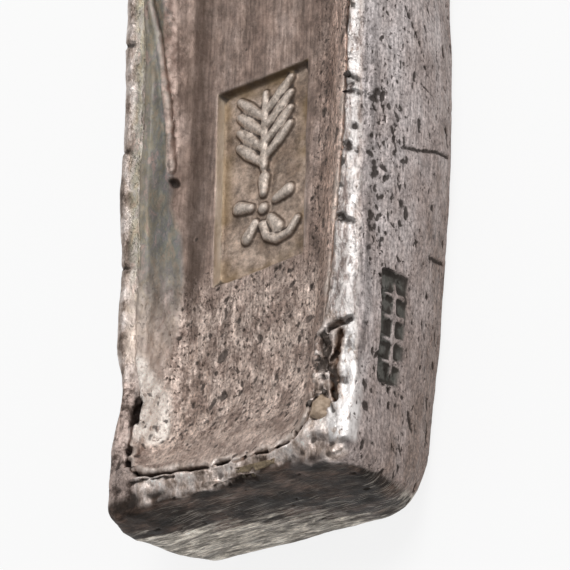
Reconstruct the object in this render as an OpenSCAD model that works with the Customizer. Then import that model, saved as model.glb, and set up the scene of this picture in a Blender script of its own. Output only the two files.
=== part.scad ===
// Trough-shaped ingot of cast silver in millimetres: a tray-shaped shell that froze first, the
// dished fill that froze inside it, and residue packed in the open seam between the two.
// Length runs along Y and Z is up; the origin is on the base plane under the middle.

/* [Plan] */
// Length at the rim
ingot_l = 77.2; // [60:0.2:120]
// Overall width across the rims at mid length
ingot_w = 35.2; // [28:0.2:54]
// Overall width across the rims at the two ends
end_w = 31.6; // [26:0.2:52]
// Corner radius of the rim outline in plan
plan_r = 2.2; // [1.8:0.2:6]
// Corner radius of the trough outline in plan
trough_r = 2.2; // [0.6:0.2:4]
// Flare of the near left and far right corners of the rim
flare = 2; // [0:0.1:3]
// Distance from the corner over which the flare dies out
flare_reach = 13; // [6:0.5:16]
// Inward set of the right rim behind the stamp
tuck = 0.7; // [0:0.1:1.2]
// Distance from the near end at which the tuck begins
tuck_in = 18; // [12:1:26]
// Length over which the tuck sets in, and over which it ends at the far corner
tuck_fade = 14; // [8:1:18]
// Depth of the dent in the left side
dent = 1.2; // [0:0.1:1.6]
// Distance of the dent from the near end
dent_in = 14; // [10:0.5:24]
// Half length of the dent
dent_reach = 6; // [3:0.5:10]

/* [Height and walls] */
// Height of the rim at the two ends
end_h = 17.4; // [14:0.2:28]
// Height of the rim half way along the sides
mid_h = 16.4; // [12:0.2:26]
// Lean of each side wall, as inset of the base from the rim
side_lean = 0.8; // [-1:0.1:4]
// Lean of each end wall, as inset of the base from the rim
end_lean = -0.8; // [-2:0.1:3]
// Outward belly of the side walls at half height
side_belly = 0.9; // [0:0.05:1.4]
// Outward belly of the end walls at half height
end_belly = 0.4; // [0:0.05:1.4]
// Radius of the edge round the base
base_r = 1.1; // [0.6:0.1:2]

/* [Rim] */
// Width of the rim along the sides, from its outer face to the seam
rim_w = 2.5; // [2.2:0.1:4]
// Width of the lip across the ends, from its outer face to the seam
lip_w = 2.6; // [2.2:0.1:5]
// Radius of the outer edge of the rim
rim_outer_r = 1.1; // [0.4:0.1:1.4]
// Radius of the inner edge of the rim beside the open seam
rim_inner_r = 0.4; // [0.2:0.05:0.8]
// Fall of the right rim from the seam to its outer edge
side_fall = 1; // [0:0.1:1.2]
// Fall of the lip across the ends from the seam to its outer edge
lip_fall = 0.6; // [0:0.1:1]
// Fall of the left rim from its outer edge to the seam
inner_fall = 0.6; // [0:0.1:0.8]

/* [Seam and pocket] */
// Height of the pocket floor in the shell
pocket_z = 6; // [4:0.5:9]
// Outward lean of the pocket walls, which keys the fill in place
pocket_key = 0.5; // [0:0.1:1]
// Depth of the seam below the rim
seam_depth = 2.2; // [1.6:0.1:3]
// Width of the open seam at the near left and far right corners
seam_open = 0.7; // [0.3:0.1:1]
// Width of the seam across the two ends
seam_lip = 0.35; // [0.2:0.05:0.8]
// Width of the closed seam along the middle of the sides
seam_hair = 0.12; // [0.08:0.02:0.3]
// Length of open seam along the sides, measured from the end
seam_reach = 13; // [8:1:20]
// Length of open seam along the sides at the other two corners
corner_reach = 4; // [3:0.5:7]
// Length over which the seam closes up
seam_fade = 7; // [2:1:12]
// Radius of the edges beside the closed seam
hair_r = 0.15; // [0.1:0.05:0.3]
// Inward slant of the right side of the seam from the far end to the near end
seam_slant = 2.5; // [0:0.1:3.5]
// Further step of the seam inward at the tear
seam_step = 0.7; // [0:0.1:1]

/* [Trough] */
// Drop from the rim to the edge of the fill beside the open seam
fill_drop = 0.4; // [0.2:0.05:1]
// Drop from the rim to the edge of the fill beside the closed seam
hair_drop = 0.15; // [0.05:0.05:0.3]
// Radius of the edge of the fill beside the open seam
fill_r = 0.4; // [0.2:0.05:1]
// Depth of the trough floor below the rim at mid length
trough_depth = 4.1; // [3:0.1:6]
// Width of the sloping left side of the trough
side_run = 3.1; // [2:0.1:5]
// Width by which the sloping right side of the trough reaches further in
right_run = 3.2; // [0:0.1:4]
// Length of the sloping ends of the trough
end_run = 10.8; // [6:0.2:14]
// Extra depth of the trough floor along its middle
floor_dish = 0.3; // [0:0.1:1]
// Height of the lap, a cold ridge on the left side of the trough
lap_h = 0.45; // [0.2:0.05:0.7]
// Distance from mid length at which the lap ends
lap_y = 2.6; // [-6:0.2:8]
// Length of the lap
lap_l = 26; // [12:1:28]
// Distances of the near and far end of the lap from the seam
lap_d = [2.4, 0.5];

/* [Seal] */
// Width of the struck seal across the trough
seal_w = 12.4; // [11:0.2:14]
// Length of the struck seal along the trough
seal_l = 23.4; // [18:0.2:30]
// Depth of the seal below the trough floor
seal_depth = 0.8; // [0.4:0.1:1.4]
// Width of the sloping walls of the seal
seal_bevel = 0.5; // [0.1:0.05:0.8]
// Distance of the middle of the seal from the long axis
seal_x = -0.7; // [-2:0.1:1]
// Turn of the short sides of the seal in degrees
seal_turn = 6; // [-8:0.5:8]
// Lean of the long sides of the seal against its turn in degrees
seal_skew = 5; // [-6:0.5:6]
// Width of the raised strokes in the seal
stroke_w = 1.2; // [0.6:0.05:1.4]
// Height of the raised strokes above the floor of the seal
stroke_h = 0.65; // [0.3:0.05:0.9]
// Leaves on each side of the sprig
leaf_count = 4; // [2:1:5]
// Angle of the leaves off the stem in degrees
leaf_angle = 48; // [30:2:65]
// Petals of the blossom
petal_count = 5; // [4:1:8]

/* [Side stamp] */
// Length of the stamp along the side wall
stamp_l = 12.6; // [8:0.2:18]
// Width of the stamp up the side wall
stamp_w = 4.2; // [3:0.2:6]
// Depth of the stamp along its upper edge
stamp_depth = 0.9; // [0.4:0.05:1.2]
// Depth of the stamp along its lower edge
stamp_foot = 0.4; // [0.1:0.05:0.8]
// Distance of the middle of the stamp from the near end
stamp_in = 16.4; // [10:0.2:50]
// Height of the middle of the stamp above the base
stamp_z = 10.4; // [6:0.2:12]
// Turn of the stamp off the length in degrees
stamp_turn = 4; // [-8:0.5:8]
// Width of the raised bars across the stamp
bar_w = 0.5; // [0.3:0.05:0.8]
// Raised bars across the stamp
bar_count = 4; // [2:1:6]

/* [Rim damage] */
// Distance of the tear across the rim from the near end
tear_in = 15.6; // [14:0.2:28]
// Length of the tear
tear_l = 2.8; // [1:0.1:3.2]
// Width of the tear
tear_w = 0.8; // [0.4:0.1:1.2]
// Depth of the tear
tear_depth = 1.5; // [0.6:0.1:2]
// Length of the crack that runs from the tear along the rim
crack_l = 8; // [4:0.5:9]
// Width of the crack
crack_w = 0.8; // [0.4:0.1:1.2]
// Depth of the crack
crack_depth = 1.9; // [0.6:0.1:2.2]
// Distance of the crack from the outer face of the rim
crack_side = 2.7; // [2:0.1:3.4]
// Distances of the notches in the rim from mid length
notch_ys = [-10.8, -2.4, 4.8];
// Depth of the notches in the rim
notch_depth = 0.7; // [0.3:0.1:1.2]

/* [Underside] */
// Gas pocks in the base
pock_count = 56; // [0:4:80]
// Radius of the largest pocks
pock_r = 2; // [0.8:0.1:2.6]
// Depth of the pocks as a share of their radius
pock_deep = 0.5; // [0.2:0.05:0.7]

/* [Residue] */
// Radius of the lump lodged in the rim
lump_r = 1.1; // [0.8:0.1:1.4]
// Distance of the lump from the near end
lump_in = 6; // [5:0.2:8]
// Distance of the lump from the outer face of the rim
lump_side = 4.1; // [3:0.1:5]
// Thickness of the crust on the shoulder of the lip
crust_t = 0.15; // [0.1:0.05:0.4]
// Length of the crust along the lip
crust_l = 6; // [2:0.5:10]
// Distance of the middle of the crust from the long axis
crust_x = 3.6; // [-8:0.2:8]

/* [Hidden] */
half_l = ingot_l / 2;
half_w = end_w / 2;
stamp_y = stamp_in - half_l;
tear_y = tear_in - half_l;
lump_y = lump_in - half_l;
swell = ingot_w / end_w - 1;
floor_z = mid_h - trough_depth;
seal_z = floor_z - floor_dish - seal_depth;
wall_top = mid_h - rim_outer_r;
outer_fall = [side_fall, 0, lip_fall];
foot_side = rim_w + seam_open + side_run;
foot_end = lip_w + seam_lip + end_run;
side_steps = 26;
end_steps = 10;
corner_steps = 6;
arc_steps = 4;
slope_steps = 6;
overlap = 0.05;
far = 10;

// Widening of the plan at distance y from mid length
function bow(y) = 1 + swell * (1 - pow(y / half_l, 2));

// Rise of the rim at distance y from mid length
function rise(y) = (end_h - mid_h) * pow(y / half_l, 2);

// Smooth rise from 0 to 1 as t goes from 0 to 1
function ramp(t) = let (u = min(1, max(0, t))) u * u * (3 - 2 * u);

// How far the seam stands open at the point p, from 0 to 1
function openness(p) =
    let (reach = p.x * p.y > 0 ? seam_reach : corner_reach, fade = min(seam_fade, reach / 2))
    ramp((abs(p.y) - half_l + reach + fade) / fade);

// Inward set of the right rim at distance y from mid length
function tuck_at(y) = tuck * ramp(min(y + half_l - tuck_in, half_l - y) / tuck_fade);

// Inward shift of the right side of the seam at distance y from mid length
function slant_at(y) =
    seam_slant * (half_l - y) / ingot_l + seam_step * ramp((tear_y + tear_w * 2 - y) / (tear_w * 4));

// Inward shift of the left side at distance y from mid length
function dent_at(y) = dent * ramp(1 - abs(y + half_l - dent_in) / dent_reach);

// Part of the shifts of a side at the share s of the height of the wall
function shift_share(s) = pow(max(0, 2 * s - 1), 2);

// Inset of the side wall from the rim at the share s of its height
function side_inset(s) = side_lean * (1 - s) - 4 * side_belly * s * (1 - s);

// Inset of the end wall from the rim at the share s of its height
function end_inset(s) = end_lean * (1 - s) - 4 * end_belly * s * (1 - s);

// Distance of the right wall from the long axis at distance y from mid length and height z
function wall_x(y, z) =
    let (s = (z - base_r) / (wall_top + rise(y) - side_fall - base_r))
    (half_w - side_inset(s)) * bow(y) - shift_share(s) * tuck_at(y);

// Distance of the right side of the seam from the long axis at distance y from mid length
function seam_x(y) = (half_w - rim_w) * bow(y) - slant_at(y);

// Height of the left side of the trough at the distance d from the seam and y from mid length
function trough_z(d, y) =
    let (s = min(1, max(0, (d - seam_open - fill_r) / (side_run - fill_r))))
    floor_z + pow(1 - s, 1.7) * (trough_depth - fill_drop + rise(y) - inner_fall);

// Anticlockwise rounded rectangle of half sizes a and b and corner radius r
function outline(a, b, r) = [
    for (i = [0 : side_steps]) [a, (b - r) * (2 * i / side_steps - 1)],
    for (i = [1 : corner_steps - 1]) [a - r, b - r] + r * dir(90 * i / corner_steps),
    for (i = [0 : end_steps]) [(a - r) * (1 - 2 * i / end_steps), b],
    for (i = [1 : corner_steps - 1]) [r - a, b - r] + r * dir(90 + 90 * i / corner_steps),
    for (i = [0 : side_steps]) [-a, (b - r) * (1 - 2 * i / side_steps)],
    for (i = [1 : corner_steps - 1]) [r - a, r - b] + r * dir(180 + 90 * i / corner_steps),
    for (i = [0 : end_steps]) [(a - r) * (2 * i / end_steps - 1), -b],
    for (i = [1 : corner_steps - 1]) [a - r, r - b] + r * dir(270 + 90 * i / corner_steps)
];

// Unit vector at an angle
function dir(angle) = [cos(angle), sin(angle)];

// Shift of an outline point by the flare of the two corners
function flare_at(p) =
    let (turn = p.y < 0 ? 1 : -1)
    let (t = max(0, 1 - norm(turn * p + [half_w, half_l]) / flare_reach))
    turn * flare * t * t * dir(240);

// Part of the flare at the share s of the height of the wall
function flare_share(s) = 4 * s * s * (1.25 - s);

// Fall of the rim at the outline point p; f is the fall at the right, the left and the ends, and
// side runs from -1 on the left side to 1 on the right side
function fall_at(p, side, f) =
    let (e = ramp((abs(p.y) - half_l + 9) / 6))
    (1 - e) * (f.x * max(0, side) + f.y * max(0, -side)) + e * f.z;

// Closed ring inset by dx at the sides and dy at the ends, at height z plus a share of the rim rise
// less the fall. It is moved out by a part of the flare, and its right side in by the parts of the
// tuck and the slant and the length that pull gives.
function ring(dx, dy, r, z, share, part = 0, pull = [0, 0, 0], fall = [0, 0, 0]) = [
    for (p = outline(half_w - dx, half_l - dy, r))
        let (out = part * flare_at(p))
        let (side = p.x / (half_w - dx))
        let (right = pull.x * tuck_at(p.y) + pull.y * slant_at(p.y) + pull.z)
        let (left = (pull.x + pull.y) * dent_at(p.y))
        [p.x * bow(p.y) + out.x - max(0, side) * right + max(0, -side) * left,
            p.y + out.y,
            z + share * (rise(p.y) - fall_at(p, side, fall))]
];

// Ring between two rings, nearer to the second where the seam is open
function seam_ring(closed, open) = [
    for (i = [0 : len(closed) - 1])
        closed[i] + openness(closed[i]) * (open[i] - closed[i])
];

// Ring at the foot of the seam, where the fill meets the shell
function seam_foot() = ring(rim_w, lip_w, trough_r, mid_h - seam_depth, 1, pull = [0, 1, 0]);

// Ring round the pocket floor
function pocket_ring() = ring(rim_w - pocket_key, lip_w - pocket_key, trough_r, pocket_z, 0);

// Ring on the inner edge of the rim, of radius r, at the point c of its arc
function rim_edge(r, c) =
    ring(rim_w - r * (1 - c.y), lip_w - r * (1 - c.y), trough_r, mid_h - r * (1 - c.x), 1,
        pull = [0, 1, 0], fall = [0, inner_fall, 0]);

// Rings up the outside of the shell, over the rim and down into the pocket
function shell_rings() = [
    for (i = [0 : arc_steps])
        let (c = dir(90 * i / arc_steps), in = base_r * (1 - c.y))
        ring(side_lean + in, end_lean + in, plan_r, base_r * (1 - c.x), 0),
    for (i = [1 : slope_steps])
        let (s = i / slope_steps)
        ring(side_inset(s), end_inset(s), plan_r, base_r + s * (wall_top - base_r), s,
            flare_share(s), [shift_share(s), 0, 0], outer_fall),
    for (i = [1 : arc_steps])
        let (c = dir(90 * i / arc_steps), in = rim_outer_r * (1 - c.x))
        ring(in, in, plan_r - in, wall_top + rim_outer_r * c.y, 1, 1, [1, 0, 0], outer_fall),
    for (i = [0 : arc_steps])
        let (c = dir(90 * i / arc_steps))
        seam_ring(rim_edge(hair_r, c), rim_edge(rim_inner_r, c)),
    seam_foot(),
    pocket_ring()
];

// Ring on the edge of the fill, of radius r, at the point c of its arc, dx and dy away from the rim
function fill_edge(dx, dy, drop, r, c) =
    let (in = r * (1 - c.x))
    ring(rim_w + dx + in, lip_w + dy + in, trough_r, mid_h - drop - r * (1 - c.y), 1,
        pull = [0, 1, 0], fall = [0, inner_fall, 0]);

// Rings up the keyed wall of the fill, over its edge and down the dish of the trough
function fill_rings() = [
    pocket_ring(),
    seam_foot(),
    for (i = [0 : arc_steps])
        let (c = dir(90 * i / arc_steps))
        seam_ring(
            fill_edge(seam_hair, seam_hair, hair_drop, hair_r, c),
            fill_edge(seam_open, seam_lip, fill_drop, fill_r, c)
        ),
    for (i = [0 : slope_steps])
        let (s = i / slope_steps, share = pow(1 - s, 1.7))
        ring(rim_w + seam_open + fill_r + s * (side_run - fill_r),
            lip_w + seam_lip + fill_r + s * (end_run - fill_r),
            trough_r + s, floor_z + share * (trough_depth - fill_drop), share,
            pull = [0, 1 - s, right_run * s], fall = [0, inner_fall, 0]),
    for (s = [0.4, 0.75, 0.95])
        ring(foot_side + s * (half_w - foot_side), foot_end + s * (half_w - foot_side),
            (trough_r + 1) * (1 - s), floor_z - floor_dish * (1 - pow(1 - s, 2)), 0,
            pull = [0, 0, right_run * (1 - s)])
];

// Closed skin over a stack of rings, capped at both ends; flip turns the diagonals of its quads
module skin(rings, flip = false) {
    n = len(rings[0]);
    m = len(rings);
    hubs = [for (r = [rings[0], rings[m - 1]]) [0, 0, r[0].z]];
    sides = [
        for (j = [0 : m - 2], i = [0 : n - 1])
            let (a = j * n + i, b = j * n + (i + 1) % n)
            each flip
                ? [[a, a + n, b], [b, a + n, b + n]]
                : [[a, b + n, b], [a, a + n, b + n]]
    ];
    caps = [
        for (i = [0 : n - 1])
            let (k = (i + 1) % n)
            each [[m * n, i, k], [m * n + 1, (m - 1) * n + k, (m - 1) * n + i]]
    ];
    polyhedron([for (r = rings) each r, each hubs], concat(sides, caps));
}

// Tapered rounded bar from a to b, standing on the floor of the seal
module stroke(a, b, taper = 1) {
    hull() {
        translate(a) dome(stroke_w);
        translate(b) dome(stroke_w * taper);
    }
}

// Low dome of width w
module dome(w) {
    scale([w / 2, w / 2, stroke_h]) sphere(1, $fn = 12);
}

// Leafy sprig of height h that grows from the origin along Y
module sprig(h) {
    pitch = h / (leaf_count + 1.4);
    stroke([0, 0, 0], [0, h - pitch * 0.6, 0], 0.8);
    for (k = [0 : leaf_count - 1], side = [-1, 1])
        translate([0, pitch * (k + 0.35 + side * 0.18), 0])
            rotate(-side * leaf_angle) leaf(seal_w * 0.38);
}

// Blunt leaf of length l that grows from the origin along Y
module leaf(l) {
    hull() {
        dome(stroke_w * 0.7);
        translate([0, l * 0.65, 0]) dome(stroke_w * 1.3);
        translate([0, l, 0]) dome(stroke_w * 0.9);
    }
}

// Blossom of radius r about the origin, on a hooked stem of length h
module blossom(r, h) {
    for (k = [0 : petal_count - 1])
        rotate(90 + 360 * k / petal_count) stroke([r * 0.5, 0, 0], [r, 0, 0], 1.5);
    dome(stroke_w * 1.3);
    for (k = [0 : 3])
        stroke(hook(h, k), hook(h, k + 1));
}

// Point k of the hooked stem of length h below the blossom
function hook(h, k) = [h * 0.55 * (1 - cos(40 * k)), -h * 0.45 - h * 0.55 * sin(40 * k), 0];

// Leans what stands along Y over to the right by an angle
module lean_back(angle) {
    multmatrix([[1, tan(angle), 0, 0], [0, 1, 0, 0], [0, 0, 1, 0], [0, 0, 0, 1]]) children();
}

// Sunk field of the seal with its raised ornament
module seal() {
    difference() {
        hull() {
            block(seal_w - 2 * seal_bevel, seal_l - 2 * seal_bevel, overlap);
            translate([0, 0, seal_depth]) block(seal_w, seal_l, far);
        }
        translate([0, seal_l * 0.04, 0]) sprig(seal_l * 0.43);
        translate([0, -seal_l * 0.17, 0]) blossom(seal_w * 0.29, seal_l * 0.19);
    }
}

// Block of sizes x, y and z that stands on the origin
module block(x, y, z) {
    translate([-x / 2, -y / 2, 0]) cube([x, y, z]);
}

// Wedge sunk in the side wall, deepest along its upper edge, with raised bars left across it
module side_stamp() {
    face = [wall_x(stamp_y, stamp_z), stamp_y, stamp_z];
    top = [wall_x(stamp_y, stamp_z + stamp_w / 2), stamp_y, stamp_z + stamp_w / 2];
    lean = atan2(top.x - face.x, top.z - face.z) - atan2(stamp_depth - stamp_foot, stamp_w);
    swing = atan2(wall_x(stamp_y + 1, stamp_z) - wall_x(stamp_y - 1, stamp_z), 2);
    pitch = stamp_l / (bar_count + 1);
    middle = (stamp_depth + stamp_foot) / 2;
    translate(face - [middle, 0, 0]) rotate([0, lean, -swing]) rotate([stamp_turn, 0, 0])
        difference() {
            translate([0, -stamp_l / 2, -stamp_w / 2]) cube([far, stamp_l, stamp_w]);
            for (k = [1 : bar_count])
                translate([-overlap, k * pitch - stamp_l / 2 - bar_w / 2, -stamp_w * 0.36])
                    cube([middle * 0.7, bar_w, stamp_w * 0.72]);
            translate([-overlap, -stamp_l * 0.42, -bar_w / 2])
                cube([middle * 0.7, stamp_l * 0.84, bar_w]);
        }
}

// Tear that runs askew across the right rim
module rim_tear() {
    translate([crack_x(tear_y), tear_y, mid_h + rise(tear_y) - tear_depth])
        rotate(18) block(tear_l, tear_w, far);
}

// Distance of the crack in the right rim from the long axis at distance y from mid length
function crack_x(y) = half_w * bow(y) - crack_side;

// Crooked crack that runs from the tear towards the near end
module rim_crack() {
    path = [for (k = [0 : 2]) let (y = tear_y - tear_w - k * crack_l / 2)
        [crack_x(y) + crack_w * pow(k - 1, 2) * 0.7, y, mid_h + rise(y) - crack_depth]];
    for (k = [0 : 1])
        hull() {
            translate(path[k]) cylinder(d = crack_w, h = far, $fn = 12);
            translate(path[k + 1]) cylinder(d = crack_w, h = far, $fn = 12);
        }
}

// Share from 0 to 1 that jumps about from one whole number k to the next
function shuffle(k, seed) = let (v = 371 * sin(k * 47.9 + seed * 31.3)) v - floor(v);

// Gas pocks scattered over the base, clear of its edge
module base_pocks() {
    reach = [half_w - side_lean, half_l - end_lean] - (base_r + pock_r) * [1, 1];
    for (k = [1 : pock_count])
        let (r = pock_r * (0.4 + 0.6 * shuffle(k, 9)))
        translate([reach.x * (2 * shuffle(k, 7) - 1), reach.y * (2 * shuffle(k, 8) - 1), r * (pock_deep - 1)])
            rotate(k * 50) sphere(r, $fn = 9);
}

// Square notches in the inner edge of the rim
module rim_notches() {
    for (y = notch_ys)
        translate([seam_x(y), y, mid_h + rise(y) - notch_depth])
            rotate(20) translate([-rim_w, 0, 0]) cube([rim_w * 1.5, notch_depth, far]);
}

// Shell without its stamp and damage
module shell_body() {
    skin(shell_rings());
}

// Fill without its seal
module fill_body() {
    skin(fill_rings(), flip = true);
}

// Ridge along the left side of the trough, half sunk in it
module lap() {
    path = [for (k = [0 : 4])
        let (t = k / 4, y = lap_y + t * lap_l, d = lap_d[0] + t * (lap_d[1] - lap_d[0]))
        [-(half_w - rim_w - d) * bow(y), y, trough_z(d, y)]];
    for (k = [0 : 3])
        hull() {
            translate(path[k]) sphere(lap_h, $fn = 8);
            translate(path[k + 1]) sphere(lap_h, $fn = 8);
        }
}

// Lump of residue, flattened and half sunk in the rim
module lump() {
    translate([half_w * bow(lump_y) - lump_side, lump_y, mid_h + rise(lump_y) - lump_r * 0.5])
        scale([1, 1.2, 0.6]) sphere(lump_r, $fn = 20);
}

// Tray of metal that froze first, with the rim, the side stamp, the rim damage and the gas pocks
module outer_shell() {
    color([0.72, 0.68, 0.66])
        difference() {
            shell_body();
            side_stamp();
            rim_tear();
            rim_crack();
            rim_notches();
            lump();
            base_pocks();
        }
}

// Metal that froze inside the tray, dished along the trough and struck with the seal
module trough_fill() {
    color([0.58, 0.52, 0.48])
        difference() {
            union() {
                fill_body();
                lap();
            }
            translate([seal_x, 0, seal_z]) rotate(seal_turn) lean_back(seal_skew) seal();
        }
}

// Lump of residue lodged in the rim near its corner
module corner_residue() {
    color([0.62, 0.5, 0.34])
        difference() {
            lump();
            fill_body();
        }
}

// Crust of residue on the shoulder of the lip, which it follows
module lip_residue() {
    color([0.6, 0.5, 0.36])
        difference() {
            translate([crust_x - crust_l / 2, rim_outer_r - half_l, end_h - lip_fall - rim_outer_r])
                rotate([0, 90, 0]) cylinder(r = rim_outer_r + crust_t, h = crust_l, $fn = 64);
            shell_body();
        }
}

outer_shell();
trough_fill();
corner_residue();
lip_residue();
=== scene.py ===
"""Looks of the silver trough ingot: sculpted copies of its solids, tarnish, floor, light and camera."""

import itertools
import math
from types import SimpleNamespace as Zones

import bpy
import numpy as np
from mathutils import Matrix, Vector, bvhtree, kdtree


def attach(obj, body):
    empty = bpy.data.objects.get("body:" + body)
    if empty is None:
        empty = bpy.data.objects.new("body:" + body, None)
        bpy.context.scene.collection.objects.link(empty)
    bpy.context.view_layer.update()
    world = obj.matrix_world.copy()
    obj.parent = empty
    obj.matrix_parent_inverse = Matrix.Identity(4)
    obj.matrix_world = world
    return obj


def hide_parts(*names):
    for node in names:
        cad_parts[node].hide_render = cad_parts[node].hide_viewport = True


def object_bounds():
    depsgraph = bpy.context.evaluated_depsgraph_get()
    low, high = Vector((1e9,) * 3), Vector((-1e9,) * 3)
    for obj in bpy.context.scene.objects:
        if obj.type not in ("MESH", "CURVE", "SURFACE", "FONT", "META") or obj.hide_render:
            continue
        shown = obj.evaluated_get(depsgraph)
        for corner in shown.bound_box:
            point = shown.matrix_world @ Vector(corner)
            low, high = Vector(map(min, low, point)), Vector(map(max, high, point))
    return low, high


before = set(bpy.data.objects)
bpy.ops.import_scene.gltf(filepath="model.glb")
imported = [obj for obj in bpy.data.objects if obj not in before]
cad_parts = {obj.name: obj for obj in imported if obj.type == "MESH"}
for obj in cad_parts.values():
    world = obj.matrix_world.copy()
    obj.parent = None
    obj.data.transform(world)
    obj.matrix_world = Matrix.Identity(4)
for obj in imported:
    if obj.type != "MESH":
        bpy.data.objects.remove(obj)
CAD_BOX = [list(corner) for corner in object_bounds()]

MM = 0.001
SEED = 20
HASH, SCRAMBLE, GAIN, SLOPES = (73856093, 19349663, 83492791), 1274126177, 1.7, 64
METAL_FACES, RESIDUE_FACES = 195000, 20000
UP = (0, 0, 1)

# Sizes of the solids in millimetres, as in the part's source
HALF_L, HALF_W, MID_HALF_W = 38.6, 15.8, 17.6
SWELL = MID_HALF_W / HALF_W - 1
MID_H, END_H = 16.4, 17.4
RIM_W, LIP_W, TROUGH_R = 2.5, 2.6, 2.2
BASE_R, WALL_TOP, SIDE_LEAN, SIDE_BELLY = 1.1, 15.3, 0.8, 0.9
SIDE_FALL, INNER_FALL = 1, 0.6
TUCK, TUCK_IN, TUCK_FADE = 0.7, 18, 14
SLANT, SEAM_STEP, TEAR_Y, TEAR_W = 2.5, 0.7, -23, 0.8
DENT, DENT_Y, DENT_REACH = 1.2, -24.6, 6
SEAL_X, SEAL_W, SEAL_L, SEAL_Z = -0.7, 12.4, 23.4, 11.2
SEAL_TURN, SEAL_SKEW = math.radians(6), math.tan(math.radians(5))
STAMP_Y, STAMP_Z, STAMP_L, STAMP_W = -22.2, 10.4, 12.6, 4.2
STAMP_DEPTH, STAMP_FOOT = 0.9, 0.4
LAP = ((-12.1, 2.6), (-12, 6.6), (-12.3, 11), (-12.6, 18.6), (-13, 28))

# How far the sculpted metal may stand above the rim
BURR = 0.1
# Lines in plan along single features
HOLE = ((-11.9, 1.3), (-11.8, 1))
HOLLOW = ((12.2, -32.7), (12.2, -32.5))
CRACK = ((14.1, -23.8), (13.5, -27.6), (13.8, -31.6))
RUBBED_HIGHLIGHT_SLOPE = ((-13.8, -21.8), (-12.8, -25), (-12.2, -29.2))
WHITE_CORNER = ((15.5, -24), (15.1, -29), (14.6, -34), (14.4, -36))
# Knocked near corners and the way that they moved
LEFT_CORNER, LEFT_MOVE = (-16.2, -39.2), (0.25, 0.7, 0)
RIGHT_FOOT, RIGHT_MOVE = (16, -39.6, 0), (-0.4, 0.7, 1)
# Sideways shift of the settled sides, the left seam and the crack, at places along the length
LEFT_SHIFT = ((-38, -0.45), (-34.5, -0.4), (-31, -0.15), (-27.5, 0.1), (-24.5, 0.2), (-20, 0.3),
              (-9, 0.5), (0, 0), (13, 0.1), (22, -0.5), (39, -0.4))
RIGHT_SHIFT = ((-39, -0.2), (-30, -0.3), (-24, -0.2), (-19, 0), (-10, 0.25), (0, 0.3), (10, 0.3),
               (20, 0.1), (39, 0))
SEAM_SHIFT = ((-34, 0), (-30, -0.5), (-26.5, -0.8), (-23, -0.4), (-20, 0))
CRACK_SHIFT = ((-34, 0), (-31, -0.4), (-27.5, -0.5), (-24, -0.7), (-21.5, 0))
# Lengthwise shift of the near lip, at places across the width
NEAR_LIP = -36
LIP_SHIFT = ((-14, 0.9), (-12, 0.8), (-7, 0.2), (-2.7, -0.3), (3, -0.2), (7, -0.15), (9.7, 0.5),
             (11.5, 0.3), (13, 0))
# Foot of the film on the left wall, as places along the length and distances left of the long axis
FILM_FOOT = ((-30, 12.5), (-24, 12), (-17, 10.8), (-10.7, 10.6), (-5.8, 11), (-1.6, 12.2), (6, 12),
             (15.5, 12.6), (39, 13))
# Inner and outer edge of the rubbed band on the right rim, as distances right of the long axis
BAND_IN = ((-37, 13.4), (-33, 12.9), (-31, 14.3), (-28, 14.1), (-22.5, 14.3), (-21, 12.6), (-2.5, 13.5),
           (15, 13.9), (39, 14))
BAND_OUT = ((-38, 16.8), (-33, 16.4), (-20, 15.9), (-3, 15.5), (15, 15.2), (39, 14.9))
# Height of the upper edge of the dark ends, at places across the near end
END_TOP = ((-15, 17), (-13.5, 16.8), (-9.3, 16.5), (-6.2, 16), (-1, 15.6), (2, 16.2), (5.9, 16.6),
           (8.1, 16.2), (10.5, 15.6), (12.2, 15.7), (13.6, 14.8), (14.4, 14), (15, 12.5), (16, 8.2),
           (17, 4.3))
# Stretches of open seam, and by what share: along the near lip and up the left side
LIP_GAPS = ((-12.4, -2.4, 0.8), (-1.8, 0.4, 0.9), (2.2, 2.8, 0.7), (3.6, 5.8, 0.85), (6.6, 8.4, 1),
            (8.9, 9.6, 1))
LEFT_GAPS = ((-28.5, -25.2, 0.95), (-32.1, -31, 0.75), (-34.2, -32.7, 0.7))
SEAM_DARK = (0.06, 0.042, 0.033)


# Fields over points

def step(low, high, value):
    """Smooth rise from 0 at low to 1 at high."""
    t = np.clip((value - low) / (high - low), 0, 1)
    return t * t * (3 - 2 * t)


def window(gaps, value, soft):
    """The share of the stretch that a value lies in, 0 outside them all, with soft ends."""
    shares = [share * step(a - soft, a + soft, value) * step(b + soft, b - soft, value)
              for a, b, share in gaps]
    return np.max(shares, axis=0)


def noise(points, seed):
    """Smooth gradient noise in about -1 to 1, one feature per unit."""
    rng = np.random.default_rng(SEED + seed)
    slopes = rng.normal(size=(SLOPES, 3))
    slopes /= np.linalg.norm(slopes, axis=1)[:, None]
    cell = np.floor(points).astype(np.int64)
    part = points - cell
    fade = part ** 3 * (part * (part * 6 - 15) + 10)
    total = np.zeros(len(points))
    for corner in itertools.product((0, 1), repeat=3):
        at = cell + corner
        key = at[:, 0] * HASH[0] ^ at[:, 1] * HASH[1] ^ at[:, 2] * HASH[2]
        key = (key ^ (key >> 13)) * SCRAMBLE
        slope = slopes[(key ^ (key >> 16)) % SLOPES]
        weight = np.prod(np.where(corner, fade, 1 - fade), axis=1)
        total += weight * ((part - corner) * slope).sum(axis=1)
    return total * GAIN


def clouds(points, size, seed, octaves=3):
    """Layered noise whose largest features are size long; size may differ by axis."""
    scaled = points / size
    return sum(noise(scaled * 2 ** k, seed + k) / 2 ** k for k in range(octaves))


def along(places, y):
    """Value between the given places along a line."""
    at, value = zip(*places)
    return np.interp(y, at, value)


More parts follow.
